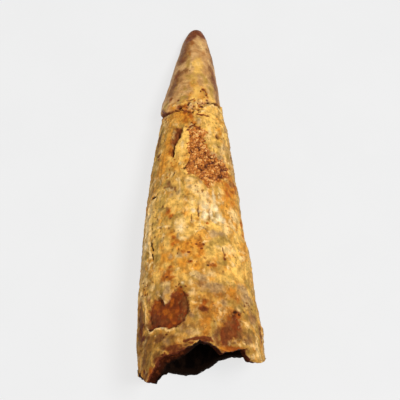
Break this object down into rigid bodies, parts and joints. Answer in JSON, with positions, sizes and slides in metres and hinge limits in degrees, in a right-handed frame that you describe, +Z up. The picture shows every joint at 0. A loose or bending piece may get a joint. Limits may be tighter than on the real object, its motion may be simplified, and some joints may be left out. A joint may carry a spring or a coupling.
{
  "type": "fossil pterosaur tooth",
  "caption": "Long conical fossil tooth lying on its side, with a blunt tip, a mended break across the crown and a hollow, broken root; for display or set dressing.",
  "frame": {"origin": "centre of the tooth's outline on the surface that it lies on", "axes": "+Y from the broken root to the tip, +Z up, +X to the right when the root is nearest"},
  "size_m": [0.013, 0.045, 0.0102],
  "materials": {
    "fossil_dentine": "weathered gold, tan and rust-stained dentine, smoother and darker enamel at the tip, near-black inside the root",
    "sandstone_matrix": "cemented red-brown sand grains, rough, with small glints"
  },
  "bodies": {
    "root": {"tooth": "fossil_dentine"}
  },
  "joints": []
}
